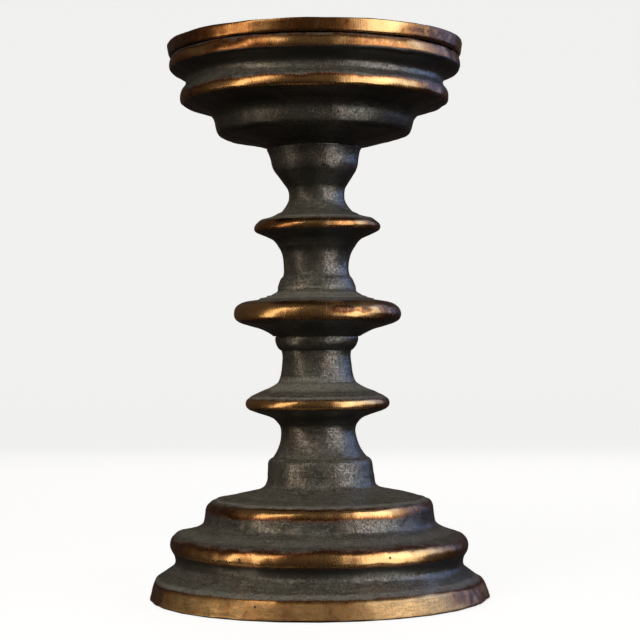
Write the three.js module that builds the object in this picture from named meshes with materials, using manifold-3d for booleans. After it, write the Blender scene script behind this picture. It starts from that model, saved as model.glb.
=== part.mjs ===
// Altar candlestick. Turned bronze stem pieces are strung on a steel tie rod between a cast
// base and a cast cup. A drip pan rests on the cup's rim and lifts off over a short pricket.
// Millimetres, +Z up, the origin on the stem's axis at the surface that the foot stands on.

import * as THREE from "three";
import { mergeVertices } from "three/addons/utils/BufferGeometryUtils.js";
import Module from "manifold-3d";

// Driving dimensions.
const HEIGHT = 250; // from the surface to the top of the drip pan's rim
const FOOT_RADIUS = 76.9;
const RIM_RADIUS = 66.8;
const GAP = 0.3; // clearance between pieces that touch
const ROD_RADIUS = 5; // M10, its thread left plain
const BORE_RADIUS = ROD_RADIUS + GAP;
const SPIGOT_RADIUS = 9; // each stem piece's spigot sits in a recess of the piece below
const SPIGOT_LENGTH = 2.5;
const RECESS_RADIUS = SPIGOT_RADIUS + GAP;
const RECESS_DEPTH = SPIGOT_LENGTH + GAP;
const FELT_THICKNESS = 1.5;
const FELT_STANDS_PROUD = 0.6; // how far the felt holds the foot off the surface

// Height of the seat that carries each piece, from the base up.
const SEAT = {
  drum: 55.5,
  lower_neck: 63.5,
  lower_ring: 79,
  lower_spool: 97.3,
  lower_bead: 111.6,
  middle_ring: 118,
  upper_bead: 138.7,
  upper_spool: 145,
  upper_ring: 158.6,
  neck_vase: 174.2,
  cup: 202.8,
  drip_pan: HEIGHT - 6.5,
};

const BASE_BOSS_BOTTOM = 36; // the tie rod's lower hardware hangs under this face
const BASE_BOSS_RADIUS = 16;
const CUP_BOSS_HEIGHT = 12.2; // above the cup's seat
const CUP_BOSS_RADIUS = 15;
const CUP_HEIGHT = SEAT.drip_pan - SEAT.cup - GAP;
const PRICKET_TIP = HEIGHT - 2;
const ROD_BOTTOM = 17;
const ROD_TOP = 224;

// Smoothness of the faceted solids.
const CURVE_STEPS = 2; // straight pieces in each curve of an outline
const WIDE_SIDES = 28; // facets round a wide piece
const SLIM_SIDES = 20; // facets round a slim piece

const darkBronze = metal(0x3a352d, 0.5, 0.9);
const wornBronze = metal(0xa07a48, 0.35, 0.95);
const zincSteel = metal(0x9a9c9f, 0.4, 1);
const brass = metal(0xb08a4a, 0.35, 1);
const greenFelt = new THREE.MeshStandardMaterial({ color: 0x24402f, roughness: 1 });

function metal(color, roughness, metalness) {
  return new THREE.MeshStandardMaterial({ color, roughness, metalness });
}

// An outline is a list of [radius, height] corners and [control radius, control height,
// radius, height] curves, run anticlockwise round the section with the axis on the left.
function outlinePoints(outline) {
  const path = new THREE.Path();
  path.moveTo(...outline[0]);
  for (const step of outline.slice(1)) {
    if (step.length === 2) path.lineTo(...step);
    else path.quadraticCurveTo(...step);
  }
  return path.getPoints(CURVE_STEPS);
}

// Turns an outline round the Z axis.
function turned(outline, sides) {
  const geometry = new THREE.LatheGeometry(outlinePoints(outline), sides);
  return geometry.rotateX(Math.PI / 2);
}

function named(name, geometry, material, z = 0) {
  const mesh = new THREE.Mesh(geometry, material);
  mesh.name = name;
  mesh.position.z = z;
  return mesh;
}

// A plain ring from z = 0 up.
function ring(innerRadius, outerRadius, height, sides) {
  const outline = [
    [innerRadius, 0],
    [outerRadius, 0],
    [outerRadius, height],
    [innerRadius, height],
    [innerRadius, 0],
  ];
  return turned(outline, sides);
}

// A bored stem piece: its outside outline between a spigot below and a recess above.
function stemPiece(name, outside, sides) {
  const [firstRadius, bottom] = outside[0];
  const top = outside[outside.length - 1].slice(-1)[0];
  const outline = [
    [BORE_RADIUS, bottom - SPIGOT_LENGTH],
    [SPIGOT_RADIUS, bottom - SPIGOT_LENGTH],
    [SPIGOT_RADIUS, bottom],
    [firstRadius, bottom],
    ...outside.slice(1),
    [RECESS_RADIUS, top],
    [RECESS_RADIUS, top - RECESS_DEPTH],
    [BORE_RADIUS, top - RECESS_DEPTH],
    [BORE_RADIUS, bottom - SPIGOT_LENGTH],
  ];
  return named(name, turned(outline, sides), darkBronze, SEAT[name]);
}

// Height of a piece from its own seat to just under the next one's.
function heightUpTo(name, next) {
  return SEAT[next] - SEAT[name] - GAP;
}

// Base: foot with a flat fascia, cove, torus, tier and a collar that carries the drum.
// It is a shell, open underneath, with a boss for the tie rod.
function baseCasting() {
  const bottom = FELT_STANDS_PROUD;
  const feltGroove = FELT_THICKNESS + GAP;
  const top = SEAT.drum - GAP;
  const outline = [
    [66, bottom],
    [67.2, bottom],
    [67.2, feltGroove],
    [75.3, feltGroove],
    [75.3, bottom],
    [FOOT_RADIUS, bottom],
    [75.9, 2.5],
    [75.1, 6.2, 73.4, 8.8],
    [67, 13.3],
    [65, 14.6, 64.7, 16.6],
    [64.8, 18.9, 65.9, 20.4],
    [67.2, 22, 67.2, 23.8],
    [67.2, 27, 63.8, 28.2],
    [59.1, 30],
    [54.6, 31.6, 52.6, 33.6],
    [51.6, 35.5, 51.4, 38.5],
    [51.2, 40.8],
    [50.9, 43, 48.6, 43.8],
    [47.2, 44],
    [38.7, 46.2],
    [32, 47.4],
    [26.2, 48.2, 24.9, 51],
    [24.3, 53, 24.1, top],
    [RECESS_RADIUS, top],
    [RECESS_RADIUS, top - RECESS_DEPTH],
    [BORE_RADIUS, top - RECESS_DEPTH],
    [BORE_RADIUS, BASE_BOSS_BOTTOM],
    [BASE_BOSS_RADIUS, BASE_BOSS_BOTTOM],
    [BASE_BOSS_RADIUS + 0.5, 43.6],
    [38, 42],
    [46.8, 38.5],
    [47.8, 33],
    [58.5, 26.6],
    [61.5, 23],
    [60.6, 17],
    [62.5, 12.5],
    [66, 8.5],
    [66, bottom],
  ];
  return named("base_casting", turned(outline, WIDE_SIDES), darkBronze);
}

function feltRing() {
  return named("felt_ring", ring(67.5, 75, FELT_THICKNESS, WIDE_SIDES), greenFelt);
}

function drum() {
  const top = heightUpTo("drum", "lower_neck");
  const outside = [
    [24.1, 0],
    [23.8, 3, 23.6, 4.8],
    [23.3, 6.9, 21.2, top],
  ];
  return stemPiece("drum", outside, SLIM_SIDES);
}

function lowerNeck() {
  const top = heightUpTo("lower_neck", "lower_ring");
  const outside = [
    [21, 0],
    [18.2, 3.6, 17.3, 8],
    [16.9, 10, 16.9, 11.5],
    [17, 14, 18.1, top],
  ];
  return stemPiece("lower_neck", outside, SLIM_SIDES);
}

function lowerRing() {
  const top = heightUpTo("lower_ring", "lower_spool");
  const outside = [
    [18.5, 0],
    [19.6, 1.6, 21.6, 2.3],
    [29.6, 5.4],
    [32.5, 6.2, 32.5, 8.4],
    [32.5, 10.2, 30.4, 10.9],
    [25, 13.9],
    [19.4, 16, 17.6, top],
  ];
  return stemPiece("lower_ring", outside, WIDE_SIDES);
}

function lowerSpool() {
  const top = heightUpTo("lower_spool", "lower_bead");
  const outside = [
    [17.5, 0],
    [16.2, 2.4, 15.9, 6],
    [15.5, 9.5, 15.5, 11],
    [15.5, 12.8, 15.9, top],
  ];
  return stemPiece("lower_spool", outside, SLIM_SIDES);
}

function lowerBead() {
  const top = heightUpTo("lower_bead", "middle_ring");
  const outside = [
    [16.3, 0],
    [17.6, 1.2, 18.3, 3.2],
    [18.9, 5, 18, top],
  ];
  return stemPiece("lower_bead", outside, SLIM_SIDES);
}

function middleRing() {
  const top = heightUpTo("middle_ring", "upper_bead");
  const outside = [
    [19.6, 0],
    [21.8, 2.2, 26.5, 3.4],
    [32, 4.6],
    [36.2, 5.6, 37.3, 7.2],
    [38.4, 9.2, 37.6, 11.6],
    [36.4, 14.6, 31.5, 15.6],
    [24.5, 16.7],
    [22.4, 17.2],
    [18.9, 18.2, 17.4, top],
  ];
  return stemPiece("middle_ring", outside, WIDE_SIDES);
}

function upperBead() {
  const top = heightUpTo("upper_bead", "upper_spool");
  const outside = [
    [17.2, 0],
    [17.6, 1.6, 17.1, 2.8],
    [16.6, 4.6, 15.3, top],
  ];
  return stemPiece("upper_bead", outside, SLIM_SIDES);
}

function upperSpool() {
  const top = heightUpTo("upper_spool", "upper_ring");
  const outside = [
    [15, 0],
    [14.6, 2.2, 14.75, 4.5],
    [14.9, 7.5, 15.4, 9.3],
    [15.9, 11.4, 17.3, top],
  ];
  return stemPiece("upper_spool", outside, SLIM_SIDES);
}

function upperRing() {
  const top = heightUpTo("upper_ring", "neck_vase");
  const outside = [
    [17.6, 0],
    [18.6, 1.6, 20.3, 2.7],
    [26, 6],
    [28.7, 7.2, 28.75, 9.3],
    [28.7, 11.1, 25.5, 11.5],
    [21, 12.9, 19.3, 14],
    [16.4, top],
  ];
  return stemPiece("upper_ring", outside, WIDE_SIDES);
}

function neckVase() {
  const top = heightUpTo("neck_vase", "cup");
  const outside = [
    [15.9, 0],
    [13.3, 2.6, 12.6, 5.4],
    [12.3, 8.2, 13.4, 10.8],
    [17.5, 16.7],
    [19.3, 19, 19.7, 22],
    [20, 25.4, 21, top],
  ];
  return stemPiece("neck_vase", outside, SLIM_SIDES);
}

// Cup: an open shell with a tier, a torus and a cove under its rim, and a boss for the rod.
function cup() {
  const outline = [
    [BORE_RADIUS, -SPIGOT_LENGTH],
    [SPIGOT_RADIUS, -SPIGOT_LENGTH],
    [SPIGOT_RADIUS, 0],
    [21.6, 0],
    [41, 5.4],
    [43.4, 6.1, 44.1, 7.9],
    [44.9, 10, 45.3, 11.8],
    [45.9, 14.2, 48.4, 15.7],
    [58.6, 19.5],
    [60.8, 20.3, 60.8, 22.2],
    [60.7, 24.2, 59.4, 25.8],
    [58, 27.6, 58.1, 29.6],
    [58.3, 32.2, 61, 34.2],
    [64.4, 36.6],
    [65.7, 37.4, 65.6, 39.2],
    [64.6, CUP_HEIGHT],
    [62.6, CUP_HEIGHT],
    [62, 37.8],
    [57.4, 34],
    [55.1, 29],
    [56.8, 25.4],
    [56.6, 22.8],
    [52.5, 20.6],
    [45.2, 17.8],
    [42, 14.6],
    [41, 9.4],
    [38, 8.2],
    [CUP_BOSS_RADIUS, 3.6],
    [CUP_BOSS_RADIUS - 0.5, CUP_BOSS_HEIGHT],
    [BORE_RADIUS, CUP_BOSS_HEIGHT],
    [BORE_RADIUS, -SPIGOT_LENGTH],
  ];
  return named("cup", turned(outline, WIDE_SIDES), darkBronze, SEAT.cup);
}

// Drip pan: a saucer whose rim stands on the cup and whose floor carries the candle.
// Heights are above its seat, the cup's rim.
function dripPan() {
  const rimTop = HEIGHT - SEAT.drip_pan;
  const floorTop = -13.7;
  const floorUnder = -15.6;
  const holeRadius = 4.5;
  const outline = [
    [62, 0],
    [65.3, 0],
    [65.6, 0.5],
    [66.5, 2.6, RIM_RADIUS, 5],
    [RIM_RADIUS, rimTop, 65.6, rimTop],
    [64.8, rimTop],
    [63.6, rimTop, 63.2, 5.2],
    [60.8, 1.7],
    [53.4, -6.2, 50, -10.6],
    [47.6, floorTop, 42.5, floorTop],
    [holeRadius, floorTop],
    [holeRadius, floorUnder],
    [43, floorUnder],
    [49.2, floorUnder, 51.8, -11.4],
    [58.6, -3.4],
    [62, 0],
  ];
  return named("drip_pan", turned(outline, WIDE_SIDES), wornBronze, SEAT.drip_pan);
}

function tieRod() {
  const chamfer = 1;
  const outline = [
    [0, ROD_BOTTOM],
    [ROD_RADIUS - chamfer, ROD_BOTTOM],
    [ROD_RADIUS, ROD_BOTTOM + chamfer],
    [ROD_RADIUS, ROD_TOP - chamfer],
    [ROD_RADIUS - chamfer, ROD_TOP],
    [0, ROD_TOP],
  ];
  return named("tie_rod", turned(outline, SLIM_SIDES), zincSteel);
}

// Washer, split lock washer and nut that clamp the stack from under the base's boss.
function lowerHardware() {
  const washerHeight = 1.7;
  const lockHeight = 2.2;
  const nutHeight = 8;
  const washerBottom = BASE_BOSS_BOTTOM - GAP - washerHeight;
  const lockBottom = washerBottom - GAP - lockHeight;
  const nutBottom = lockBottom - GAP - nutHeight;
  return [
    named("bottom_washer", ring(BORE_RADIUS, 14, washerHeight, SLIM_SIDES), zincSteel, washerBottom),
    named("lock_washer", splitRing(BORE_RADIUS, 8.8, lockHeight), zincSteel, lockBottom),
    named("bottom_nut", hexagonNut(17, nutHeight), zincSteel, nutBottom),
  ];
}

// A flat ring with a narrow slit on its +X side.
function splitRing(innerRadius, outerRadius, height) {
  const slitAngle = 0.14;
  const shape = new THREE.Shape();
  shape.absarc(0, 0, outerRadius, slitAngle, 2 * Math.PI - slitAngle, false);
  shape.absarc(0, 0, innerRadius, 2 * Math.PI - slitAngle, slitAngle, true);
  shape.closePath();
  return new THREE.ExtrudeGeometry(shape, { depth: height, bevelEnabled: false, curveSegments: 10 });
}

function hexagonNut(acrossFlats, height) {
  const cornerRadius = acrossFlats / Math.sqrt(3);
  const corners = [...Array(6)].map((_, i) => {
    const angle = (i * Math.PI) / 3;
    return new THREE.Vector2(cornerRadius * Math.cos(angle), cornerRadius * Math.sin(angle));
  });
  const shape = new THREE.Shape(corners);
  const bore = new THREE.Path();
  bore.absarc(0, 0, BORE_RADIUS, 0, 2 * Math.PI, true);
  shape.holes.push(bore);
  return new THREE.ExtrudeGeometry(shape, { depth: height, bevelEnabled: false, curveSegments: 10 });
}

const topWasherBottom = SEAT.cup + CUP_BOSS_HEIGHT + GAP;
const topWasherHeight = 1.5;

function topWasher() {
  return named("top_washer", ring(BORE_RADIUS, 11, topWasherHeight, SLIM_SIDES), zincSteel, topWasherBottom);
}

// Pricket: a spike on a collar with a blind threaded hole, which clamps the stack from above.
// Two flats on the collar take a spanner.
async function pricket() {
  const bottom = topWasherBottom + topWasherHeight + GAP;
  const collarRadius = 9;
  const collarTop = 227.3;
  const acrossFlats = 15;
  const shankRadius = 3.3;
  const outline = [
    [0, ROD_TOP + GAP],
    [BORE_RADIUS, ROD_TOP + GAP],
    [BORE_RADIUS, bottom],
    [collarRadius, bottom],
    [collarRadius, collarTop - 0.8],
    [collarRadius - 0.8, collarTop],
    [shankRadius, collarTop],
    [shankRadius, collarTop + 3],
    [2, PRICKET_TIP - 8],
    [0, PRICKET_TIP],
  ];
  const wasm = await Module();
  wasm.setup();
  const turnedPricket = solid(wasm, turned(outline, SLIM_SIDES));
  const flats = new THREE.BoxGeometry(3 * collarRadius, acrossFlats, HEIGHT);
  const stock = solid(wasm, flats.translate(0, 0, HEIGHT / 2));
  return named("pricket", geometryOf(turnedPricket.intersect(stock)), brass);
}

function solid(wasm, geometry) {
  geometry.deleteAttribute("normal");
  geometry.deleteAttribute("uv");
  const merged = mergeVertices(geometry);
  const vertProperties = merged.attributes.position.array;
  const triVerts = new Uint32Array(merged.index.array);
  return new wasm.Manifold(new wasm.Mesh({ numProp: 3, vertProperties, triVerts }));
}

function geometryOf(manifold) {
  const { vertProperties, triVerts } = manifold.getMesh();
  const geometry = new THREE.BufferGeometry();
  geometry.setAttribute("position", new THREE.BufferAttribute(vertProperties, 3));
  geometry.setIndex(new THREE.BufferAttribute(triVerts, 1));
  geometry.computeVertexNormals();
  return geometry;
}

const group = new THREE.Group();
group.add(baseCasting(), feltRing());
group.add(drum(), lowerNeck(), lowerRing(), lowerSpool(), lowerBead(), middleRing());
group.add(upperBead(), upperSpool(), upperRing(), neckVase(), cup(), dripPan());
group.add(tieRod(), ...lowerHardware(), topWasher(), await pricket());

export default group;
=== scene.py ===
"""Altar candlestick: the looks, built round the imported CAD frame.

Turned and cast bronze under a dark patina, which is rubbed through to gold on every raised
moulding. Each CAD piece, apart from the felt ring and the lock washer, gets a finely turned
piece in its place, and the bronze ones have slightly uneven, hand-finished surfaces. Outlines
are in millimetres, as (radius, height). Heights in STEM, cup() and drip_pan() are above the
piece's own seat, and all others are above the surface that the candlestick stands on.
"""

import math
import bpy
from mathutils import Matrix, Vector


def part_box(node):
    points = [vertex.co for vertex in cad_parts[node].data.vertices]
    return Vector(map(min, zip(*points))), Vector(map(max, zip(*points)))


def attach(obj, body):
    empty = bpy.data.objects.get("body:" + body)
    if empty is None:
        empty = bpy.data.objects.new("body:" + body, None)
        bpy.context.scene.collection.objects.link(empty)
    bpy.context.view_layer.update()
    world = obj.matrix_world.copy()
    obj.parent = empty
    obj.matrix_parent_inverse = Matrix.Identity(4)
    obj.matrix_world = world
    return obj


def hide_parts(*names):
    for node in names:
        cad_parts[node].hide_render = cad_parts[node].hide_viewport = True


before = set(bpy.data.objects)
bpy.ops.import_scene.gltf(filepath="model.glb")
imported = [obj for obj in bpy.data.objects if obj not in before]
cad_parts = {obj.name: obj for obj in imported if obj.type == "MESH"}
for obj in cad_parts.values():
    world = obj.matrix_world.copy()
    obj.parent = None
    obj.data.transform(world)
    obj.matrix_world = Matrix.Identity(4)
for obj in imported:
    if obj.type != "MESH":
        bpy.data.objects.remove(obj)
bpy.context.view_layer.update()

from types import SimpleNamespace

import bmesh
import bpy
import numpy as np
from mathutils import Matrix, Vector, noise

MM = 0.001
STICK = "candlestick"  # the CAD body of everything but the pan
PAN = "drip_pan"

# The bored pieces, as the CAD model makes them.
BORE_RADIUS = 5.3
SPIGOT_RADIUS = 9.0
SPIGOT_LENGTH = 2.5
RECESS_RADIUS = 9.3
RECESS_DEPTH = 2.8
JOINT_OVERHANG = 0.28  # a finely turned piece reaches down over all but a hair of the CAD gap

# The base: its fascia, its inside and the groove that the felt ring sits in.
FASCIA_TOP = 8.8  # below it the casting's skin is rough
BASE_BOSS_BOTTOM = 36.0
FELT_GROOVE_DEPTH = 1.8
FELT_GROOVE_INNER = 67.2
FELT_GROOVE_OUTER = 75.3

# The cup and the pan. Heights are above the seat of each.
CUP_FOOT_RADIUS = 21.4
CUP_BOSS_TOP = 12.2
LIP_LIFT = 0.7  # the cup's rim meets the pan's lip this far above the CAD line
PAN_BRIM = 6.5
PAN_FLOOR = -13.7
PAN_UNDERSIDE = -15.6
PAN_HOLE_RADIUS = 4.5

# The hardware.
NUT_ACROSS_FLATS = 17.0
THREAD_PITCH = 1.5
THREAD_DEPTH = 0.8
LOWER_THREAD = 28.0  # from the rod's lower end
UPPER_THREAD = 16.0  # from its upper end
THREAD_LEAD_IN = 0.6  # left plain at either end
EASED_EDGE = 0.3  # chamfer at a ring's bore
PRICKET_ACROSS_FLATS = 15.0
PRICKET_BORE_DEPTH = 7.2
PRICKET_COLLAR = 10.2  # height of the collar under the spike
SPIKE_RADIUS = 3.3
SHARP_FROM = 40.0  # degrees between two faces that make a hard edge

# The camera stands in front of the stem, in millimetres and degrees.
CAMERA_DISTANCE = 777.0
CAMERA_HEIGHT = 109.9
CAMERA_SIDEWAYS = 1.3
CAMERA_LENS = 96.47
SENSOR_WIDTH = 36.0
CAMERA_PITCH = 1.116
CAMERA_ROLL = -0.55

# The stage. The floor is a little under the felt, so that their surfaces never coincide.
FLOOR_LEVEL = -0.05
FLOOR_FLAT = 1500.0
FLOOR_RADIUS = 2100.0
WALL_BEND = 600.0  # height at which the sweep has become a wall
WALL_TOP = 1600.0
LAMP_AIM = 0.12  # metres: the height that every lamp faces
WATTS_PER_RADIANCE = 4.0  # of an area lamp, for each square metre of it

# How the castings stray: (height, millimetres to the right, degrees of tilt, right side up).
STRAY = (
    (0, 0.0, 0.0),
    (3, 0.0, 0.0),
    (10, 0.0, -0.9),
    (28, 0.1, -0.7),
    (42, 0.3, 0.3),
    (53, 1.0, 0.0),
    (68, 0.3, 0.0),
    (87, -0.2, 0.0),
    (112, -0.5, 0.0),
    (128, 0.2, -0.6),
    (150, -0.2, 0.0),
    (168, 0.5, 0.5),
    (182, 0.3, 0.0),
    (201, -0.6, 0.3),
    (222, -0.5, -0.5),
    (243, 0.0, -0.35),
    (250, 0.0, 0.0),
)


# ---------------------------------------------------------------- turned meshes


def sampled(outline, spacing):
    """Points along an outline, about evenly spaced. A step of two numbers is a corner and one
    of four is a curve with its control point first."""
    points = [np.array(outline[0], float)]
    for step in outline[1:]:
        start, end = points[-1], np.array(step[-2:], float)
        bend = np.array(step[:2], float) if len(step) == 4 else (start + end) / 2
        length = np.linalg.norm(bend - start) + np.linalg.norm(end - bend)
        count = max(1, math.ceil(length / spacing))
        for t in np.arange(1, count + 1) / count:
            points.append((1 - t) ** 2 * start + 2 * t * (1 - t) * bend + t * t * end)
    return np.array(points)


def softened(points, spacing, radius):
    """Rounds the corners of a line of points over about that radius. Its ends stay."""
    for _ in range(round(2 * (radius / spacing) ** 2)):
        middle = points[1:-1]
        points = np.vstack(
            [points[:1], middle + 0.25 * (points[:-2] - 2 * middle + points[2:]), points[-1:]]
        )
    return points


class Turned:
    """A closed section, turned round the Z axis, which can then be made a little uneven.

    at holds its points in metres, by ring, side and axis, with the finely sampled rings first.
    A method that moves points moves only those rings, unless it says otherwise.
    """

    def __init__(self, name, shown, hidden, sides, spacing, edge):
        """shown is the outline that is sampled finely, and hidden the corners that close it."""
        fine = softened(sampled(shown, spacing), spacing, edge)
        section = np.vstack([fine, np.array(hidden, float).reshape(-1, 2)]) * MM
        self.name = name
        self.fine = len(fine)
        self.radius, self.height = section.T
        turn = 2 * math.pi * np.arange(sides) / sides
        self.turn = np.broadcast_to(turn, (len(section), sides))
        self.at = np.stack(
            [
                self.radius[:, None] * np.cos(self.turn),
                self.radius[:, None] * np.sin(self.turn),
                np.broadcast_to(self.height[:, None], self.turn.shape),
            ],
            axis=-1,
        )

    def move_out(self, amount):
        """Moves the fine points along their outward direction, by metres per point."""
        along = np.gradient(self.radius[: self.fine]), np.gradient(self.height[: self.fine])
        length = np.maximum(np.hypot(*along), 1e-9)
        radial, up = along[1] / length, -along[0] / length
        shown = self.at[: self.fine]  # a view, so that the piece itself moves
        shown[..., 0] += amount * radial[:, None] * np.cos(self.turn[: self.fine])
        shown[..., 1] += amount * radial[:, None] * np.sin(self.turn[: self.fine])
        shown[..., 2] += amount * up[:, None]

    def uneven(self, waves):
        """Hand-finishing waves: (length, depth) of each in millimetres. They run on from one
        piece to the next."""
        shown = self.at[: self.fine].reshape(-1, 3) / MM
        depth = [
            sum(deep * noise.noise(Vector(point) / long) for long, deep in waves)
            for point in shown.tolist()
        ]
        self.move_out(np.array(depth).reshape(self.fine, -1) * MM)

    def grooved(self, pitch, depth, low, high):
        """Cuts a screw thread between two heights."""
        rise = self.at[: self.fine, :, 2] / MM
        phase = (rise / pitch - self.turn[: self.fine] / (2 * math.pi)) % 1
        cut = 2 * np.abs(phase - 0.5) * depth
        self.move_out(-np.where((rise > low) & (rise < high), cut, 0) * MM)

    def flattened(self, half_width, flats):
        """Cuts this many flats round all of it, half_width from the axis. A corner faces +X."""
        span = 2 * math.pi / flats
        limit = half_width * MM / np.cos(self.turn % span - span / 2)
        reach = np.hypot(self.at[..., 0], self.at[..., 1])
        self.at[..., :2] *= np.where(reach > limit, limit / np.maximum(reach, 1e-9), 1)[..., None]

    def stray(self):
        """Takes all of the piece off the true axis, as the castings are."""
        heights, right, tilt = np.array(STRAY).T
        rise = self.at[..., 2] / MM
        slope = np.tan(np.radians(np.interp(rise, heights, tilt)))
        self.at[..., 2] += slope * self.at[..., 0]
        self.at[..., 0] += np.interp(rise, heights, right) * MM

    def finished(self, material, node, body, slot):
        """Makes the object and gives it the CAD node's place. A section that starts on the
        axis also ends there, and its ends aren't joined."""
        rings, sides = self.at.shape[:2]
        solid = self.radius[0] == 0
        grid = np.arange(rings * sides).reshape(rings, sides)
        above = np.roll(grid, -1, axis=0)
        faces = [grid, np.roll(grid, -1, axis=1), np.roll(above, -1, axis=1), above]
        corners = np.stack(faces, axis=-1)[: rings - solid].reshape(-1, 4).tolist()
        mesh = bpy.data.meshes.new(self.name)
        mesh.from_pydata(self.at.reshape(-1, 3).tolist(), [], corners)
        if solid:
            merged = bmesh.new()
            merged.from_mesh(mesh)
            bmesh.ops.remove_doubles(merged, verts=merged.verts, dist=1e-7)
            merged.to_mesh(mesh)
            merged.free()
        mesh.polygons.foreach_set("use_smooth", [True] * len(mesh.polygons))
        mesh.set_sharp_from_angle(angle=math.radians(SHARP_FROM))
        mesh.materials.append(material)
        piece = bpy.data.objects.new(self.name, mesh)
        bpy.context.scene.collection.objects.link(piece)
        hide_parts(node)
        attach(piece, body)
        return piece


# ---------------------------------------------------------------- materials


class Number:
    """A number in a shader. Arithmetic with it adds the node that does it."""

    def __init__(self, shader, socket):
        self.shader, self.socket = shader, socket

    def __add__(self, other):
        return self.shader.math("ADD", self, other)

    def __radd__(self, other):
        return self.shader.math("ADD", other, self)

    def __sub__(self, other):
        return self.shader.math("SUBTRACT", self, other)

    def __rsub__(self, other):
        return self.shader.math("SUBTRACT", other, self)

    def __mul__(self, other):
        return self.shader.math("MULTIPLY", self, other)

    def __rmul__(self, other):
        return self.shader.math("MULTIPLY", other, self)

    def clamped(self):
        return self.shader.math("MULTIPLY", self, 1.0, use_clamp=True)

    def step(self, low, high, to_low=0.0, to_high=1.0):
        """Goes smoothly from to_low to to_high as this goes from low to high."""
        node = self.shader.add("ShaderNodeMapRange", interpolation_type="SMOOTHSTEP")
        for socket, value in zip(node.inputs[:5], (self, low, high, to_low, to_high)):
            self.shader.put(socket, value)
        return Number(self.shader, node.outputs[0])

    def centred(self, span):
        """Noise from 0 to 1 made into noise from about -span to span."""
        return (self - 0.5) * (2 * span)


class Shader:
    """Adds nodes to one material. Every length in it is in millimetres."""

    def __init__(self, name):
        self.material = bpy.data.materials.new(name)
        self.material.use_nodes = True
        self.tree = self.material.node_tree
        self.surface = self.tree.nodes["Principled BSDF"]
        self.place = self.scaled(self.add("ShaderNodeTexCoord").outputs["Object"], (1 / MM,) * 3)
        x, y, self.height = self.split(self.place)
        self.radius = self.math("SQRT", x * x + y * y)
        self.turn = self.math("ARCTAN2", x, -1 * y)
        facing = self.split(self.add("ShaderNodeNewGeometry").outputs["Normal"])
        self.up = facing[2]
        self.outward = self.math("DIVIDE", facing[0] * x + facing[1] * y, self.radius)

    def add(self, kind, **settings):
        node = self.tree.nodes.new(kind)
        for key, value in settings.items():
            setattr(node, key, value)
        return node

    def put(self, socket, value):
        if isinstance(value, Number):
            value = value.socket
        if isinstance(value, bpy.types.NodeSocket):
            self.tree.links.new(value, socket)
        else:
            socket.default_value = value

    def math(self, operation, a, b=0.0, **settings):
        node = self.add("ShaderNodeMath", operation=operation, **settings)
        self.put(node.inputs[0], a)
        self.put(node.inputs[1], b)
        return Number(self, node.outputs[0])

    def scaled(self, vector, by):
        node = self.add("ShaderNodeVectorMath", operation="MULTIPLY")
        self.put(node.inputs[0], vector)
        self.put(node.inputs[1], by)
        return node.outputs[0]

    def split(self, vector):
        node = self.add("ShaderNodeSeparateXYZ")
        self.put(node.inputs[0], vector)
        return [Number(self, output) for output in node.outputs]

    def noise(self, size, detail=3.0, roughness=0.55, stretch=1.0, turned=False, seed=0.0):
        """Noise from 0 to 1 with features about size across. stretch makes them that much
        taller, and turned makes them run right round the piece."""
        place = self.place
        if turned:
            node = self.add("ShaderNodeCombineXYZ")
            self.put(node.inputs["X"], self.radius)
            self.put(node.inputs["Z"], self.height)
            place = node.outputs[0]
        node = self.add("ShaderNodeTexNoise", noise_dimensions="4D")
        self.put(node.inputs["Vector"], self.scaled(place, (1, 1, 1 / stretch)))
        self.put(node.inputs["W"], seed)
        self.put(node.inputs["Scale"], 1 / size)
        self.put(node.inputs["Detail"], detail)
        self.put(node.inputs["Roughness"], roughness)
        return Number(self, node.outputs["Fac"])

    def mix(self, share, a, b):
        """Colour a where share is 0 and colour b where it is 1."""
        node = self.add("ShaderNodeMix", data_type="RGBA")
        self.put(node.inputs["Factor"], share)
        for socket, colour in ((node.inputs[6], a), (node.inputs[7], b)):
            self.put(socket, (*colour, 1) if isinstance(colour, tuple) else colour)
        return node.outputs[2]

    def spot(self, degrees, height, wide, tall, soft=0.5):
        """1 in an oval that far round from the front to the right, and 0 outside it."""
        across = (self.turn - math.radians(degrees)) * self.radius * (1 / wide)
        upward = (self.height - height) * (1 / tall)
        return (across * across + upward * upward).step(1 - soft, 1 + soft, 1, 0)

    def set(self, **values):
        for name, value in values.items():
            self.put(self.surface.inputs[name.replace("_", " ")], value)

    def bump(self, height):
        """height is in millimetres."""
        node = self.add("ShaderNodeBump")
        self.put(node.inputs["Height"], height)
        self.put(node.inputs["Distance"], MM)
        self.put(self.surface.inputs["Normal"], node.outputs[0])


# Dark patina for the mottling and lathe lines; the same colour is also painted shade on what faces
# down and in the less bright patches.
DARK_PATINA_AND_SHADE = (0.040, 0.040, 0.032)
PATINA_BROWN = (0.158, 0.134, 0.106)
PATINA_OLIVE = (0.134, 0.140, 0.112)
PATINA_WORN = (0.40, 0.39, 0.35)
DUST_DARK = (0.056, 0.047, 0.032)
DUST = (0.160, 0.141, 0.102)
# Colour of the thin pale lines: partly pale dust, partly a painted highlight along ridges and
# edges.
PALE_DUST_AND_HIGHLIGHT = (0.27, 0.26, 0.215)
RED_BROWN = (0.16, 0.068, 0.032)
DEEP_GOLD = (0.52, 0.235, 0.068)
GOLD = (0.85, 0.53, 0.215)
DULL_GOLD = (0.38, 0.25, 0.105)
PIT_BLACK = (0.012, 0.010, 0.008)


def bronze_noises(s):
    """The noises that every function of the bronze draws on."""
    return SimpleNamespace(
        broad=s.noise(15, 2),
        mottled=s.noise(4.2, 5, 0.62, seed=1),
        grain=s.noise(0.95, 2, 0.6, seed=2),
        brushed=s.noise(0.5, 3, stretch=9, seed=3),
        smeared=s.noise(5, 5, 0.7, stretch=0.12, seed=6),
        lathe=s.noise(0.7, 4, 0.6, turned=True, seed=4),
        skin=s.noise(1.8, 3, seed=5),
    )


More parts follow.
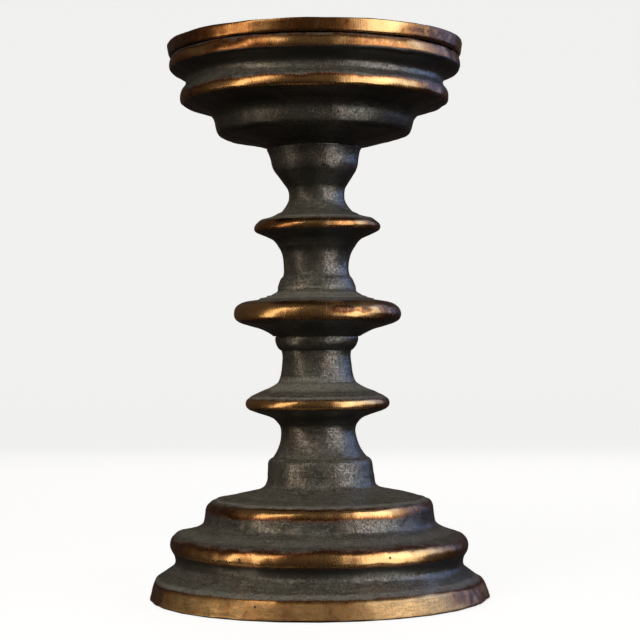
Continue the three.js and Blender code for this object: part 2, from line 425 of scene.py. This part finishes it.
def dullness_and_painted_shade(s, n, dull_and_shade_patches, rough_skin):
    """How much the patina is darkened and the gold held back: in the patches, which are partly
    tarnish and partly painted shade, and a little where the skin is rough.
    """
    dull_and_shaded = rough_skin * (n.broad * 0.5 + n.mottled * 0.5).step(0.4, 0.64, 0, 0.24)
    for degrees, level, wide, tall, share in dull_and_shade_patches:
        patch = s.spot(degrees, level, wide, tall, 0.9)
        dull_and_shaded = dull_and_shaded + patch * (n.mottled + n.grain * 0.5).step(0.5, 0.85, 0.45, 1) * share
    return dull_and_shaded


def rubbed_bright(s, n, gold, ragged, dull_and_shaded):
    """How far it is rubbed through to gold, which is only where a hand or a cloth can reach."""
    rubbed = 0.0
    for low, high, blur_low, blur_high in gold:
        above = (s.height + ragged * blur_low).step(low - blur_low, low + blur_low)
        past = (s.height + ragged * blur_high).step(high - blur_high, high + blur_high)
        rubbed = rubbed + (above - past)
    # The less bright patches hold the gold back, partly as tarnish and partly as painted shade.
    rubbed = rubbed * (1 - dull_and_shaded) * s.outward.step(-0.5, -0.15) * s.up.step(-0.97, -0.85)
    spared = n.mottled.step(0.58, 0.75, 0, 0.4) + n.grain.step(0.62, 0.8, 0, 0.25)
    return (rubbed * (1 - spared)).clamped()


def patina_colour(s, n, shaded_undersides_and_patches):
    """Brown and olive patina with dark mottling and lathe lines, worn pale in streaks and specks,
    and with painted shade: darker on what faces down and in the less bright patches.
    """
    colour = s.mix(n.broad.step(0.35, 0.65), PATINA_BROWN, PATINA_OLIVE)
    layers = (
        ((n.mottled + n.grain * 0.4).step(0.5, 0.85, 0.7, 0), DARK_PATINA_AND_SHADE),
        (n.lathe.step(0.5, 0.7, 0, 0.4), DARK_PATINA_AND_SHADE),
        (n.smeared.step(0.54, 0.7, 0, 0.6), PATINA_WORN),
        (n.brushed.step(0.56, 0.72, 0, 0.5), PATINA_WORN),
        (n.grain.step(0.56, 0.68, 0, 0.45), PATINA_WORN),
        # painted shade: darker on what faces down and in the less bright patches
        (shaded_undersides_and_patches, DARK_PATINA_AND_SHADE),
    )
    for share, tint in layers:
        colour = s.mix(share, colour, tint)
    return colour


def dust_and_highlight_lines(s, pale_line_rows, ragged):
    """Thin pale lines that wander a little: partly dust, partly a painted highlight along ridges
    and edges.
    """
    lines = 0.0
    for level, half, strength in pale_line_rows:
        near = s.math("ABSOLUTE", s.height + ragged * 0.4 - level)
        lines = lines + near.step(half * 0.3, half, strength, 0)
    return lines


def settled_dust(s, n):
    """Dust on what faces up, less of it further from the axis."""
    settled = s.up.step(0.1, 0.8) * (n.broad * 0.5 + n.mottled * 0.5).step(0.35, 0.6, 0.4, 0.9)
    return settled * (1 - n.lathe.step(0.45, 0.62, 0, 0.6)) * s.radius.step(28, 64, 1, 0.45)


def with_dust_and_pale_lines(s, n, patina, settled, lines):
    """The patina with its dust over it, and the thin pale lines, which are partly dust and partly
    painted highlight.
    """
    dust = s.mix((n.grain * 0.5 + n.smeared * 0.5).step(0.38, 0.6), DUST_DARK, DUST)
    patina = s.mix(settled, patina, dust)
    return s.mix(lines * n.skin.step(0.35, 0.6, 0.4, 1), patina, PALE_DUST_AND_HIGHLIGHT)


def worn_colour(s, n, patina, rubbed, rough_skin):
    """From the patina through red-brown and deep gold to bright gold."""
    browned = s.mix(rubbed.step(0.05, 0.35), patina, RED_BROWN)
    worn = s.mix(rubbed.step(0.35, 0.75), browned, DEEP_GOLD)
    worn = s.mix((rubbed * n.brushed.step(0.25, 0.5, 0.8, 1)).step(0.6, 0.98), worn, GOLD)
    streaky = (n.smeared * 0.6 + n.grain * 0.4).step(0.40, 0.60)
    dulled = rough_skin * rubbed.step(0.3, 0.8) * streaky.step(0, 1, 1, 0.35)
    return s.mix(dulled, worn, DULL_GOLD)


def bronze(name, gold=(), pale_line_rows=(), dull_and_shade_patches=(), pits=(), peel=None):
    """Patinated bronze.

    gold: heights where it is rubbed bright, as (low, high, blur of each).
    pale lines: thin pale lines, partly dust and partly painted highlight, as (height, half its
    width, strength).
    less bright patches: places where the patina is darkened and the gold held back, partly tarnish
    and partly painted shade, as (degrees round, height, wide, tall, share).
    pits: casting pits and cracks, as (degrees round, height, wide, tall).
    peel: below this height the casting's skin is rough.
    """
    s = Shader(name)
    n = bronze_noises(s)
    ragged = n.broad.centred(0.8) + n.mottled.centred(0.55) + n.brushed.centred(0.6)
    rough_skin = s.height.step(peel - 2.2, peel - 0.6, 1, 0) if peel else 0.0
    dull_and_shaded = dullness_and_painted_shade(s, n, dull_and_shade_patches, rough_skin)
    rubbed = rubbed_bright(s, n, gold, ragged, dull_and_shaded)
    hollow = 0.0
    for degrees, level, wide, tall in pits:
        hollow = hollow + s.spot(degrees, level, wide, tall)
    speckle = n.grain.step(0.33, 0.43, 1, 0)
    # Painted shade: the patina darkens on what faces down and in the less bright patches.
    shaded_undersides_and_patches = (s.up.step(-0.75, -0.1, 0.88, 0) + dull_and_shaded * 0.75).clamped()
    # Thin pale lines: partly dust, partly painted highlight along ridges and edges.
    lines = dust_and_highlight_lines(s, pale_line_rows, ragged)
    settled = settled_dust(s, n)
    matte_dust_and_lines = (settled + lines).clamped()

    patina = with_dust_and_pale_lines(s, n, patina_colour(s, n, shaded_undersides_and_patches), settled, lines)
    worn = worn_colour(s, n, patina, rubbed, rough_skin)
    colour = s.mix(hollow * 0.8 + speckle * (1 - rubbed) * 0.6, worn, PIT_BLACK)

    bare = rubbed.step(0.05, 0.5)
    metallic = 0.66 - matte_dust_and_lines * (1 - bare) * 0.4 + bare * (0.34 - rough_skin * 0.2)
    patina_rough = 0.27 + n.grain.step(0.3, 0.6, 0.22, 0) + matte_dust_and_lines * 0.2 + shaded_undersides_and_patches * 0.12
    gold_rough = 0.17 + n.brushed * 0.12 + n.mottled * 0.08 + rough_skin * 0.14
    roughness = patina_rough * (1 - bare) + gold_rough * bare
    relief = n.brushed * (1 - rough_skin * 0.8) * 0.03 + n.lathe * 0.03 - hollow * 0.3
    relief = relief + (n.skin * 0.22 + n.grain * 0.08 - speckle * 0.05) * (1 - bare)
    relief = relief + n.mottled * 0.10 + n.skin * rough_skin * 0.16
    s.set(Base_Color=colour, Metallic=metallic, Roughness=roughness)
    s.set(Coat_Weight=0.3, Coat_Roughness=0.28)
    s.bump(relief)
    return s.material


def felt():
    """Green felt with a short nap."""
    s = Shader("green_felt")
    nap = s.noise(0.5, 4)
    clump = s.noise(4, 3, seed=3)
    colour = s.mix(clump.step(0.3, 0.7), (0.012, 0.040, 0.022), (0.022, 0.062, 0.034))
    colour = s.mix(nap.step(0.45, 0.75, 0, 0.5), colour, (0.05, 0.10, 0.065))
    s.set(Base_Color=colour, Roughness=nap.step(0.3, 0.7, 0.88, 1.0), Sheen_Weight=0.35)
    s.bump(nap * 0.35)
    return s.material


def zinc_steel():
    """Zinc-plated steel with a faint spangle."""
    s = Shader("zinc_steel")
    spangle = s.noise(2.6, 5)
    scratch = s.noise(0.25, 2, turned=True, seed=2)
    colour = s.mix(spangle.step(0.35, 0.7), (0.34, 0.35, 0.36), (0.55, 0.56, 0.57))
    s.set(Base_Color=colour, Metallic=1.0, Roughness=scratch.step(0.3, 0.7, 0.34, 0.52))
    s.bump(scratch * 0.02)
    return s.material


def turned_brass():
    """Brass with fine lathe marks and some tarnish."""
    s = Shader("turned_brass")
    tarnish = s.noise(3.5, 5)
    lathe = s.noise(0.3, 2, turned=True, seed=5)
    colour = s.mix(tarnish.step(0.35, 0.72), (0.62, 0.42, 0.17), (0.30, 0.19, 0.08))
    s.set(Base_Color=colour, Metallic=1.0, Roughness=lathe.step(0.3, 0.7, 0.26, 0.42))
    s.bump(lathe * 0.03)
    return s.material


# ---------------------------------------------------------------- bronze pieces


# Each stem piece's outside. Its last step has no height, because it ends at the piece's top.
STEM = {
    "drum": [[24.1, 0], [23.8, 3, 23.6, 4.8], [23.3, 6.9, 21.2]],
    "lower_neck": [[21.2, 0], [18.2, 3.6, 17.3, 8], [16.9, 10, 16.9, 11.5], [17, 14, 18.3]],
    "lower_ring": [
        [18.3, 0],
        [19.6, 1.6, 21.6, 2.3],
        [29.4, 5.1],
        [32.5, 6.2, 32.5, 8.4],
        [32.5, 10.2, 30.8, 11.0],
        [30.0, 11.7],
        [26, 13.7],
        [19.9, 16, 17.7],
    ],
    "lower_spool": [[17.7, 0], [16.2, 2.4, 15.9, 6], [15.5, 9.5, 15.5, 11], [15.5, 12.8, 16.0]],
    "lower_bead": [[16.2, 0], [17.8, 0.8, 18.5, 3.0], [19.1, 5, 18.6]],
    "middle_ring": [
        [19.6, 0],
        [22.6, 2.0, 26.9, 3.4],
        [32, 4.8],
        [36.2, 5.8, 37.3, 7.4],
        [38.4, 9.2, 37.6, 11.6],
        [36.4, 14.6, 31.5, 15.5],
        [26.2, 16.2],
        [25.8, 16.8],
        [22.9, 17.3],
        [22.5, 17.9],
        [20.4, 18.3],
        [20.0, 18.9],
        [18.3, 19.4, 17.8],
    ],
    "upper_bead": [[17.8, 0], [18.0, 1.4, 17.2, 2.8], [16.7, 4.9, 15.4]],
    "upper_spool": [
        [15.3, 0],
        [14.5, 1.4, 14.75, 4.5],
        [14.9, 7.5, 15.4, 9.3],
        [15.9, 11.4, 17.5],
    ],
    "upper_ring": [
        [17.5, 0],
        [18.8, 2.0, 20.6, 3.2],
        [25.6, 5.5],
        [27.4, 6.3],
        [28.6, 7.0, 28.7, 8.2],
        [28.7, 9.6, 27.0, 10.8],
        [25.5, 12.1],
        [20.4, 12.9, 18.3, 14.4],
        [16.1],
    ],
    "neck_vase": [
        [16.1, 0],
        [13.3, 2.6, 12.6, 5.4],
        [12.3, 8.2, 13.4, 10.8],
        [17.5, 16.7],
        [19.3, 19, 19.7, 22],
        [20, 25.4, 21.4],
    ],
}

# What each piece's bronze is given. bronze() says what the numbers are.
GOLD_BANDS = {
    "base_casting": [(-4, 8.6, 0.5, 0.4), (20.8, 27.2, 1.0, 2.4), (39.4, 43.3, 1.9, 0.6)],
    "lower_ring": [(85.5, 89.4, 0.6, 0.35)],
    "middle_ring": [(124.9, 132.7, 0.9, 0.5)],
    "upper_ring": [(165.4, 169.5, 0.5, 0.35)],
    "cup": [(222.8, 226.9, 0.6, 1.5), (238.6, 242.8, 0.5, 1.5)],
    "drip_pan": [(242.5, 260, 0.3, 0.3)],
}

# Thin pale lines, partly dust and partly painted highlight along ridges and edges.
DUST_AND_HIGHLIGHT_LINES = {
    "base_casting": [(9.8, 1.3, 0.45), (44.4, 0.7, 0.4), (30.3, 1.5, 0.25)],
    "lower_ring": [(90.4, 0.6, 0.45), (95.0, 2.5, 0.7)],
    "lower_spool": [(98.0, 2.0, 0.5)],
    "middle_ring": [(135.2, 1.0, 0.5), (136.6, 0.9, 0.5)],
    "upper_bead": [(139.4, 0.8, 0.4)],
    "upper_ring": [(170.9, 0.7, 0.6)],
}

# Less bright patches, partly tarnish and partly painted shade, such as the band all round under the
# base's torus.
DULL_AND_SHADE_PATCHES = {
    "base_casting": [
        (68, 5, 24, 9, 0.55),
        (-80, 5, 26, 9, 0.6),
        (-5, 5, 25, 9, 0.3),
        (78, 24, 30, 6, 0.6),
        (-80, 24, 26, 6, 0.5),
        (75, 42, 30, 4, 0.6),
        (-66, 42, 18, 4, 0.6),
        (62, 35, 20, 6, 0.7),
        (72, 15, 24, 6, 0.7),
        (0, 18.6, 400, 2.4, 0.9),
    ],
    "lower_ring": [(82, 87, 16, 5, 0.6)],
    "lower_spool": [(-30, 103, 6, 12, 0.6)],
    "middle_ring": [(18, 129.0, 6.0, 1.7, 0.75), (33, 128.6, 4, 1.3, 0.65), (82, 128, 22, 9, 0.8)],
    "upper_spool": [(-30, 151, 7, 12, 0.9)],
    "upper_ring": [(80, 167, 16, 5, 0.6), (26, 167, 6, 4, 0.35), (-45, 167, 12, 5, 0.4)],
    "neck_vase": [(-30, 181, 6, 10, 0.7), (-30, 195, 8, 12, 1.0)],
    "cup": [
        (68, 225, 22, 4, 0.65),
        (66, 240, 26, 4, 0.5),
        (-30, 240, 16, 4, 0.5),
        (26, 240, 14, 4, 0.5),
        (-75, 230, 26, 16, 0.5),
        (-40, 212, 22, 8, 0.8),
        (52, 212, 18, 8, 0.6),
    ],
    "drip_pan": [
        (56, 247, 24, 6, 0.7),
        (-68, 247, 26, 6, 0.7),
        (0, 247, 18, 8, 0.4),
        (-33, 247, 13, 8, 0.4),
    ],
}

PITS = {
    "base_casting": [(-30, 23.9, 0.5, 0.5), (26.3, 24.3, 0.55, 0.5), (-20.7, 6, 0.5, 0.45)],
    "middle_ring": [(6.6, 128, 0.12, 4.5)],
    "upper_ring": [(58, 165, 0.6, 0.5)],
    "neck_vase": [(10.3, 193.2, 0.9, 0.4)],
    "cup": [(32, 216.3, 0.9, 0.25), (36, 216.8, 0.7, 0.25)],
}


def bronze_for(node):
    """The node's own bronze, from the tables above."""
    tables = (GOLD_BANDS, DUST_AND_HIGHLIGHT_LINES, DULL_AND_SHADE_PATCHES, PITS)
    return bronze(
        node + "_bronze",
        *(table.get(node, ()) for table in tables),
        peel=FASCIA_TOP if node == "base_casting" else None,
    )


def raised(outline, by):
    """The outline moved up."""
    return [[v + by if i % 2 else v for i, v in enumerate(step)] for step in outline]


def seat_and_top(node):
    """A stem node's seat and top heights in millimetres, from the frame. Its box starts where
    its spigot ends."""
    low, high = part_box(node)
    return low.z / MM + SPIGOT_LENGTH, high.z / MM


def stem_piece(node):
    """One moulding of the stem, with a spigot below and a recess on top."""
    seat, top = seat_and_top(node)
    outline = STEM[node]
    shown = raised(outline[:-1] + [[*outline[-1], top - seat]], seat)
    shown[0][1] -= JOINT_OVERHANG
    hidden = [
        [RECESS_RADIUS, top],
        [RECESS_RADIUS, top - RECESS_DEPTH],
        [BORE_RADIUS, top - RECESS_DEPTH],
        [BORE_RADIUS, seat - SPIGOT_LENGTH],
        [SPIGOT_RADIUS, seat - SPIGOT_LENGTH],
        [SPIGOT_RADIUS, seat - JOINT_OVERHANG],
    ]
    piece = Turned(node, shown, hidden, sides=256, spacing=0.3, edge=0.4)
    piece.uneven([(14, 0.3), (6, 0.16), (3, 0.05)])
    piece.stray()
    return piece.finished(bronze_for(node), node, STICK, "dark_bronze")


def base_casting():
    """The foot, its cove, torus and tier, and the collar under the drum."""
    low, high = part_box("base_casting")
    bottom, top = low.z / MM, high.z / MM
    shown = [
        [75.4, bottom],
        [76.6, bottom],
        [75.9, 2.5],
        [75.1, 6.2, 73.8, 8.5],
        [73.2, 9.0],
        [67.2, 13.3],
        [64.8, 14.6, 64.5, 16.6],
        [64.6, 18.9, 65.8, 20.4],
        [67.2, 22, 67.2, 23.8],
        [67.2, 27.4, 63.8, 28.6],
        [58.6, 30.2],
        [54.3, 31.6, 52.4, 33.6],
        [51.6, 35.5, 51.4, 38.5],
        [51.3, 39.8],
        [51.1, 43.1, 48.2, 43.8],
        [47.6, 43.9],
        [47.2, 44.5],
        [39.2, 46.4],
        [32.6, 47.8],
        [26.6, 48.6, 25.1, 51],
        [24.3, 53, 24.1, top],
    ]
    hidden = [
        [RECESS_RADIUS, top],
        [RECESS_RADIUS, top - RECESS_DEPTH],
        [BORE_RADIUS, top - RECESS_DEPTH],
        [BORE_RADIUS, BASE_BOSS_BOTTOM],
        [16, BASE_BOSS_BOTTOM],
        [16.5, 43.6],
        [38, 42],
        [46.8, 38.5],
        [47.8, 33],
        [58.5, 26.6],
        [61.5, 23],
        [60.6, 17],
        [62.5, 12.5],
        [66, 8.5],
        [66, bottom],
        [FELT_GROOVE_INNER, bottom],
        [FELT_GROOVE_INNER, FELT_GROOVE_DEPTH],
        [FELT_GROOVE_OUTER, FELT_GROOVE_DEPTH],
    ]
    piece = Turned("base_casting", shown, hidden, sides=384, spacing=0.6, edge=0.55)
    piece.uneven([(15, 0.6), (7, 0.3), (3.5, 0.07)])
    piece.stray()
    return piece.finished(bronze_for("base_casting"), "base_casting", STICK, "dark_bronze")


def cup():
    """The shell under the pan, from its cone to its upper bead."""
    seat, top = seat_and_top("cup")
    rim = top - seat + LIP_LIFT
    shown = [
        [CUP_FOOT_RADIUS, 0],
        [23.4, 1.1],
        [34.3, 3.9],
        [41, 5.4],
        [43.4, 6.1, 44.1, 7.9],
        [44.9, 10, 45.3, 11.8],
        [45.9, 14.2, 48.4, 16.2],
        [58.2, 19.5],
        [60.5, 20.1, 60.8, 21.6],
        [61, 23.2, 60.6, 24.6],
        [60.1, 26, 59, 27],
        [58, 28, 58.1, 29.8],
        [58.3, 31.4, 60.8, 33.0],
        [64.1, 34.3],
        [65.7, 35.0, 65.9, 36.6],
        [65.9, 38.2, 65.3, 39.6],
        [64.7, rim],
        [63.4, rim],
    ]
    hidden = [
        [62.6, rim],
        [62, 37.8],
        [57.4, 34],
        [55.1, 29],
        [56.8, 25.4],
        [56.6, 22.8],
        [52.5, 20.6],
        [45.2, 17.8],
        [42, 14.6],
        [41, 9.4],
        [38, 8.2],
        [15, 3.6],
        [14.5, CUP_BOSS_TOP],
        [BORE_RADIUS, CUP_BOSS_TOP],
        [BORE_RADIUS, -SPIGOT_LENGTH],
        [SPIGOT_RADIUS, -SPIGOT_LENGTH],
        [SPIGOT_RADIUS, -JOINT_OVERHANG],
        [CUP_FOOT_RADIUS, -JOINT_OVERHANG],
    ]
    piece = Turned(
        "cup", raised(shown, seat), raised(hidden, seat), sides=384, spacing=0.45, edge=0.45
    )
    piece.uneven([(15, 0.5), (7, 0.22), (3.5, 0.06)])
    piece.at[..., 2] = np.minimum(piece.at[..., 2], (seat + rim) * MM)
    piece.stray()
    return piece.finished(bronze_for("cup"), "cup", STICK, "dark_bronze")


def drip_pan():
    """A saucer whose lip lies over the cup's rim and whose floor is bored for the pricket."""
    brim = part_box("drip_pan")[1].z / MM
    seat = brim - PAN_BRIM
    shown = [
        [62, LIP_LIFT],
        [65.5, LIP_LIFT],
        [66.2, LIP_LIFT + 0.7],
        [66.8, 5.2],
        [66.7, 6.3],
        [66.1, PAN_BRIM],
        [64.6, PAN_BRIM],
        [63.6, 6.4, 63.2, 5.2],
        [60.8, 1.7],
        [53.4, -6.2, 50, -10.6],
        [47.6, PAN_FLOOR, 42.5, PAN_FLOOR],
        [PAN_HOLE_RADIUS, PAN_FLOOR],
        [PAN_HOLE_RADIUS, PAN_UNDERSIDE],
        [6, PAN_UNDERSIDE],
    ]
    hidden = [[43, PAN_UNDERSIDE], [47.5, -14.8], [51.8, -11.4], [58.6, -3.4]]
    piece = Turned(
        "drip_pan", raised(shown, seat), raised(hidden, seat), sides=384, spacing=0.5, edge=0.35
    )
    piece.uneven([(14, 0.3), (7, 0.16), (3.5, 0.05)])
    piece.stray()
    piece.at[..., 2] = np.minimum(piece.at[..., 2], brim * MM)
    return piece.finished(bronze_for("drip_pan"), "drip_pan", PAN, "rubbed_bronze")


# ---------------------------------------------------------------- hardware


def steel_ring(node, chamfer):
    """A bored ring as big as its CAD node, with chamfered corners. It isn't finished yet."""
    low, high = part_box(node)
    bottom, top, outer = low.z / MM, high.z / MM, high.x / MM
    shown = [
        [BORE_RADIUS, bottom + EASED_EDGE],
        [BORE_RADIUS + EASED_EDGE, bottom],
        [outer - chamfer, bottom],
        [outer, bottom + chamfer / 2],
        [outer, top - chamfer / 2],
        [outer - chamfer, top],
        [BORE_RADIUS + EASED_EDGE, top],
        [BORE_RADIUS, top - EASED_EDGE],
    ]
    return Turned(node, shown, [], sides=96, spacing=0.3, edge=0.12)


def nut(material):
    """A hexagon nut, cut from a ring."""
    piece = steel_ring("bottom_nut", chamfer=1.6)
    piece.flattened(NUT_ACROSS_FLATS / 2, 6)
    return piece.finished(material, "bottom_nut", STICK, "steel")


def tie_rod(material):
    """A rod with a screw thread at each end."""
    low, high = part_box("tie_rod")
    bottom, top, radius = low.z / MM, high.z / MM, high.x / MM
    shown = [
        [0, bottom],
        [radius - 1, bottom],
        [radius, bottom + 1],
        [radius, top - 1],
        [radius - 1, top],
        [0, top],
    ]
    piece = Turned("tie_rod", shown, [], sides=40, spacing=0.3, edge=0.1)
    piece.grooved(THREAD_PITCH, THREAD_DEPTH, bottom + THREAD_LEAD_IN, bottom + LOWER_THREAD)
    piece.grooved(THREAD_PITCH, THREAD_DEPTH, top - UPPER_THREAD, top - THREAD_LEAD_IN)
    return piece.finished(material, "tie_rod", STICK, "steel")


def pricket(material):
    """A spike on a collar with two flats and a blind bore."""
    low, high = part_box("pricket")
    bottom, tip, collar = low.z / MM, high.z / MM, high.x / MM
    shoulder = bottom + PRICKET_COLLAR
    shown = [
        [0, bottom + PRICKET_BORE_DEPTH],
        [BORE_RADIUS - 0.4, bottom + PRICKET_BORE_DEPTH],
        [BORE_RADIUS, bottom + PRICKET_BORE_DEPTH - 0.4],
        [BORE_RADIUS, bottom + 0.4],
        [BORE_RADIUS + 0.4, bottom],
        [collar - 0.4, bottom],
        [collar, bottom + 0.4],
        [collar, shoulder - 0.8],
        [collar - 0.8, shoulder],
        [SPIKE_RADIUS + 1.1, shoulder],
        [SPIKE_RADIUS, shoulder + 0.1, SPIKE_RADIUS, shoulder + 1.2],
        [SPIKE_RADIUS, shoulder + 3.0],
        [2, tip - 8],
        [0.35, tip - 0.5],
        [0.3, tip - 0.05, 0, tip],
    ]
    piece = Turned("pricket", shown, [], sides=96, spacing=0.25, edge=0.15)
    piece.flattened(PRICKET_ACROSS_FLATS / 2, 2)
    return piece.finished(material, "pricket", STICK, "brass")


# ---------------------------------------------------------------- stage


def soft_lamp(name, degrees, height, distance, size, radiance, colour, shines, lean=0):
    """A soft panel that faces the stem, degrees round from the front to the right. It shines
    on rough surfaces ("matt") or in reflections ("gloss"). lean is how far its top leans to
    the left, in degrees, seen from the stem."""
    turn = math.radians(degrees)
    data = bpy.data.lights.new(name, "AREA")
    data.shape = "RECTANGLE"
    data.size, data.size_y = size
    data.energy = radiance * WATTS_PER_RADIANCE * size[0] * size[1]
    data.color = colour
    lamp = bpy.data.objects.new(name, data)
    lamp.location = (distance * math.sin(turn), -distance * math.cos(turn), height)
    facing = Vector((0, 0, LAMP_AIM)) - lamp.location
    straight = facing.to_track_quat("-Z", "Y").to_matrix().to_4x4()
    lamp.rotation_euler = (straight @ Matrix.Rotation(math.radians(-lean), 4, "Z")).to_euler()
    lamp.visible_camera = False
    lamp.visible_diffuse = shines == "matt"
    lamp.visible_glossy = shines == "gloss"
    bpy.context.scene.collection.objects.link(lamp)


def floor():
    """A round pale floor that sweeps up into a wall all the way round."""
    outline = [
        [0, FLOOR_LEVEL],
        [FLOOR_FLAT, FLOOR_LEVEL],
        [FLOOR_RADIUS, 0, FLOOR_RADIUS, WALL_BEND],
        [FLOOR_RADIUS, WALL_TOP],
    ]
    points = sampled(outline, spacing=40) * MM
    sides = 96
    turn = 2 * math.pi * np.arange(sides) / sides
    rings = [[(r * math.cos(a), r * math.sin(a), z) for a in turn] for r, z in points[1:].tolist()]
    vertices = [(0, 0, points[0][1])] + [p for ring in rings for p in ring]
    faces = [(0, 1 + k, 1 + (k + 1) % sides) for k in range(sides)]
    for i in range(len(rings) - 1):
        for k in range(sides):
            a, b = 1 + i * sides + k, 1 + i * sides + (k + 1) % sides
            faces.append((a, a + sides, b + sides, b))
    mesh = bpy.data.meshes.new("floor")
    mesh.from_pydata(vertices, [], faces)
    mesh.polygons.foreach_set("use_smooth", [True] * len(mesh.polygons))
    piece = bpy.data.objects.new("floor", mesh)
    s = Shader("pale_floor")
    s.set(Base_Color=(0.2, 0.2, 0.197, 1), Roughness=0.9)
    s.set(Emission_Color=(1, 1, 0.99, 1), Emission_Strength=0.84)
    mesh.materials.append(s.material)
    piece.visible_diffuse = False
    piece.visible_glossy = False
    piece.visible_shadow = False
    bpy.context.scene.collection.objects.link(piece)


def surroundings():
    """A dim warm room, a little lighter overhead."""
    world = bpy.data.worlds.new("room")
    world.use_nodes = True
    tree = world.node_tree
    place = tree.nodes.new("ShaderNodeTexCoord")
    split = tree.nodes.new("ShaderNodeSeparateXYZ")
    shift = tree.nodes.new("ShaderNodeMapRange")
    shift.inputs["From Min"].default_value = -1
    ramp = tree.nodes.new("ShaderNodeValToRGB")
    stops = [(0.0, (0.010, 0.009, 0.008)), (0.5, (0.046, 0.033, 0.027)), (1.0, (0.07, 0.06, 0.055))]
    ramp.color_ramp.elements.new(0.5)
    for element, (position, colour) in zip(ramp.color_ramp.elements, stops):
        element.position = position
        element.color = (*colour, 1)
    tree.links.new(place.outputs["Generated"], split.inputs[0])
    tree.links.new(split.outputs["Z"], shift.inputs[0])
    tree.links.new(shift.outputs[0], ramp.inputs[0])
    tree.links.new(ramp.outputs[0], tree.nodes["Background"].inputs[0])
    bpy.context.scene.world = world


def camera():
    """A camera in front of the stem, pitched up and rolled a little."""
    data = bpy.data.cameras.new("camera")
    data.lens = CAMERA_LENS
    data.sensor_width = SENSOR_WIDTH
    eye = bpy.data.objects.new("camera", data)
    place = Matrix.Translation(Vector((CAMERA_SIDEWAYS, -CAMERA_DISTANCE, CAMERA_HEIGHT)) * MM)
    pitch = Matrix.Rotation(math.radians(90 + CAMERA_PITCH), 4, "X")
    roll = Matrix.Rotation(math.radians(CAMERA_ROLL), 4, "Z")
    eye.matrix_world = place @ pitch @ roll
    bpy.context.scene.collection.objects.link(eye)
    bpy.context.scene.camera = eye


def dressed_cad(node, material):
    """A CAD piece whose shape is right, in a better material."""
    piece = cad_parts[node]
    for place in piece.material_slots:
        place.material = material


camera()
surroundings()
floor()
# Each lamp: degrees round, height, distance, size, radiance, colour and what it shines on.
soft_lamp("left_panel", -57, 0.20, 1.15, (0.28, 2.2), 1.55, (1.0, 0.87, 0.72), "gloss", lean=24)
soft_lamp("left_glow", -57, 0.15, 1.25, (0.8, 1.8), 0.14, (1.0, 0.48, 0.22), "gloss", lean=24)
soft_lamp("right_panel", 52, 0.20, 1.15, (0.8, 1.9), 1.2, (0.98, 0.97, 1.0), "gloss")
soft_lamp("right_glow", 48, 0.20, 1.25, (1.2, 1.6), 0.16, (1.0, 0.54, 0.28), "gloss")
soft_lamp("near_sky_panel", 80, 0.55, 1.15, (0.9, 1.0), 1.0, (0.66, 0.76, 1.0), "gloss")
soft_lamp("far_sky_panel", 114, 0.60, 1.15, (0.8, 1.0), 1.0, (0.34, 0.50, 1.0), "gloss")
soft_lamp("high_sky_panel", 75, 1.05, 0.85, (0.9, 0.9), 0.35, (0.50, 0.64, 1.0), "matt")
soft_lamp("front_fill", -18, 0.75, 1.0, (1.2, 0.7), 3.5, (1.0, 0.96, 0.90), "matt")
soft_lamp("back_fill", 172, 0.55, 1.0, (1.2, 0.5), 1.5, (1.0, 0.96, 0.90), "matt")
soft_lamp("top_panel", -20, 1.35, 0.45, (1.0, 1.0), 0.8, (1.0, 0.96, 0.90), "matt")
bpy.context.scene.view_settings.view_transform = "Standard"

base_casting()
for stem_node in STEM:
    stem_piece(stem_node)
cup()
drip_pan()
steel = zinc_steel()
tie_rod(steel)
nut(steel)
for washer_node in ("bottom_washer", "top_washer"):
    steel_ring(washer_node, chamfer=0.5).finished(steel, washer_node, STICK, "steel")
dressed_cad("lock_washer", steel)
pricket(turned_brass())
dressed_cad("felt_ring", felt())
